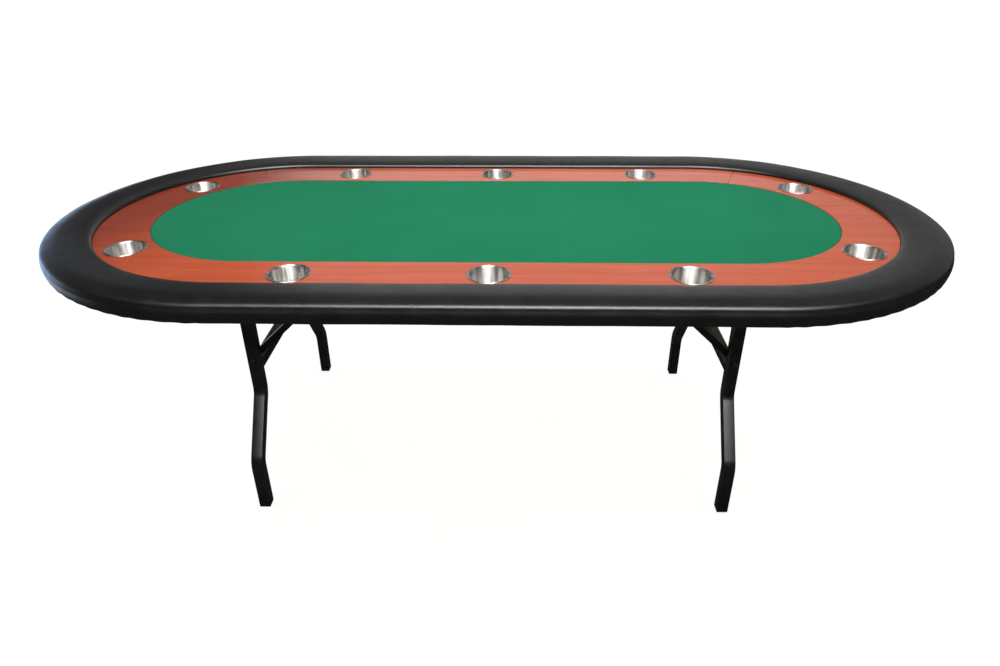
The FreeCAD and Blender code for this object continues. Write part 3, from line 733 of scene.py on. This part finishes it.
def make_floor():
    """A wide pale floor that glows a little, so that it stays near white round the table's soft shadow."""
    mesh = bpy.data.meshes.new("floor")
    half = 60.0
    corners = [(-half, -half, 0), (half, -half, 0), (half, half, 0), (-half, half, 0)]
    mesh.from_pydata(corners, [], [(0, 1, 2, 3)])
    floor = bpy.data.objects.new("floor", mesh)
    bpy.context.scene.collection.objects.link(floor)
    s = Shader("pale_floor")
    speck = s.noise(3.0, 2.0, 0.5)
    colour = s.ramp(speck, (0.3, (0.24, 0.24, 0.24)), (0.7, (0.26, 0.26, 0.26)))
    s.set(Roughness=1.0, Specular_IOR_Level=0.0)
    s.set(Emission_Color=(1.0, 1.0, 1.0, 1.0), Emission_Strength=0.9)
    mesh.materials.append(s.wire(Base_Color=colour))
    floor.visible_glossy = False


def make_area_light(name, place, target, size, power):
    """A soft rectangle of light that shows in no reflection."""
    data = bpy.data.lights.new(name, "AREA")
    data.shape = "RECTANGLE"
    data.size, data.size_y = size
    data.energy = power
    light = bpy.data.objects.new(name, data)
    light.location = place
    light.rotation_mode = "QUATERNION"
    light.rotation_quaternion = (Vector(target) - Vector(place)).to_track_quat("-Z", "Y")
    light.visible_glossy = False
    bpy.context.scene.collection.objects.link(light)


def make_world():
    """Even white light from everywhere."""
    world = bpy.data.worlds.new("studio")
    bpy.context.scene.world = world
    world.use_nodes = True
    background = world.node_tree.nodes["Background"]
    background.inputs["Color"].default_value = (1.0, 1.0, 1.0, 1.0)
    background.inputs["Strength"].default_value = AMBIENT


DOME_RADIUS = 14.0

# What glossy surfaces reflect. ARC: brightness by degrees from the back horizon over the top to the front
# one. ACROSS: share by place from the far left (-1) to the far right (+1). HEIGHT: share from the nadir (-1)
# to the zenith (+1).
ROOM_ARC = (
    (0, 0.72), (14, 0.72), (18, 0.56), (24, 0.46), (34, 0.42), (45, 0.33), (54, 0.2), (90, 0.16),
    (160, 0.06), (180, 0.03),
)
ROOM_ACROSS = (
    (-1.0, 0.25), (-0.5, 0.08), (-0.40, 0.08), (-0.30, 1.0), (0.30, 1.0), (0.45, 0.55), (1.0, 0.4),
)
# The long softbox in front, above the camera.
SOFTBOX_ARC = ((96, 0.0), (108, 1.0), (146, 1.0), (155, 0.0))
SOFTBOX_ACROSS = (
    (-0.62, 0.0), (-0.40, 0.10), (-0.22, 0.45), (-0.05, 1.0), (0.20, 1.0), (0.36, 0.45),
    (0.65, 0.0),
)
SOFTBOX_BRIGHTNESS = 17.0
# The window, low at the far left of the back.
WINDOW_HEIGHT = ((-0.45, 0.0), (-0.30, 1.0), (0.05, 1.0), (0.16, 0.0))
WINDOW_ACROSS = ((-0.98, 0.0), (-0.88, 1.0), (-0.66, 1.0), (-0.52, 0.0))
WINDOW_BRIGHTNESS = 2.8
WINDOW_COLOUR = (0.40, 0.62, 1.0)
# Everywhere else.
DARK_ROOM = 0.03


def make_glow_dome():
    """A great dome seen by glossy surfaces alone: the room, a long softbox and a window, as they reflect."""
    work = bmesh.new()
    bmesh.ops.create_uvsphere(work, u_segments=96, v_segments=48, radius=DOME_RADIUS)
    mesh = bpy.data.meshes.new("glow_dome")
    work.to_mesh(mesh)
    work.free()
    dome = bpy.data.objects.new("glow_dome", mesh)
    dome.location = (0, 0, TRACK_TOP)
    bpy.context.scene.collection.objects.link(dome)
    s = Shader("dome_glow")
    split = s.add("ShaderNodeSeparateXYZ")
    s.connect(s.coordinates, split.inputs["Vector"])
    x, y, z = (split.outputs[axis] for axis in "XYZ")
    arc = s.math("DIVIDE", s.math("ARCTAN2", z, y), math.pi)
    across = s.span(x, 0.0, 1.0, -DOME_RADIUS, DOME_RADIUS)
    height = s.span(z, 0.0, 1.0, -DOME_RADIUS, DOME_RADIUS)

    def by(source, stops, start, end):
        greys = [((place - start) / (end - start), (value, value, value)) for place, value in stops]
        return s.ramp(source, *greys)

    room = s.math("MULTIPLY", by(arc, ROOM_ARC, 0, 180), by(across, ROOM_ACROSS, -1, 1))
    softbox = s.math("MULTIPLY", by(arc, SOFTBOX_ARC, 0, 180), by(across, SOFTBOX_ACROSS, -1, 1))
    softbox = s.math("MULTIPLY", softbox, SOFTBOX_BRIGHTNESS)
    above = s.math("GREATER_THAN", z, 0.0)
    upper = s.math("MULTIPLY", s.math("ADD", room, softbox), above)
    window = s.math("MULTIPLY", by(height, WINDOW_HEIGHT, -1, 1), by(across, WINDOW_ACROSS, -1, 1))
    window = s.math("MULTIPLY", window, s.math("GREATER_THAN", y, 0.0))
    window_strength = s.math("MULTIPLY", window, WINDOW_BRIGHTNESS)
    strength = s.math("ADD", s.math("ADD", upper, DARK_ROOM), window_strength)
    emission = s.add("ShaderNodeEmission")
    s.connect(s.mix("MIX", window, (1.0, 1.0, 1.0), WINDOW_COLOUR), emission.inputs["Color"])
    s.connect(strength, emission.inputs["Strength"])
    s.connect(emission.outputs["Emission"], s.tree.nodes["Material Output"].inputs["Surface"])
    mesh.materials.append(s.material)
    dome.visible_camera = False
    dome.visible_diffuse = False
    dome.visible_transmission = False
    dome.visible_shadow = False


def make_studio():
    """The floor, the light and what the glossy surfaces reflect."""
    make_floor()
    make_world()
    make_glow_dome()
    make_area_light("overhead", (0.15, 0.0, 2.3), (0.15, 0.0, 0.7), (1.6, 1.0), 12)


make_camera()
make_rail()
make_cloth()
for section in ("racetrack_front", "racetrack_back", "racetrack_left", "racetrack_right"):
    make_track_section(section)
for cup_node in CUPS:
    make_cup(cup_node)
make_metalwork()
paint_remaining_nodes()
make_studio()
bpy.context.scene.view_settings.view_transform = "Standard"
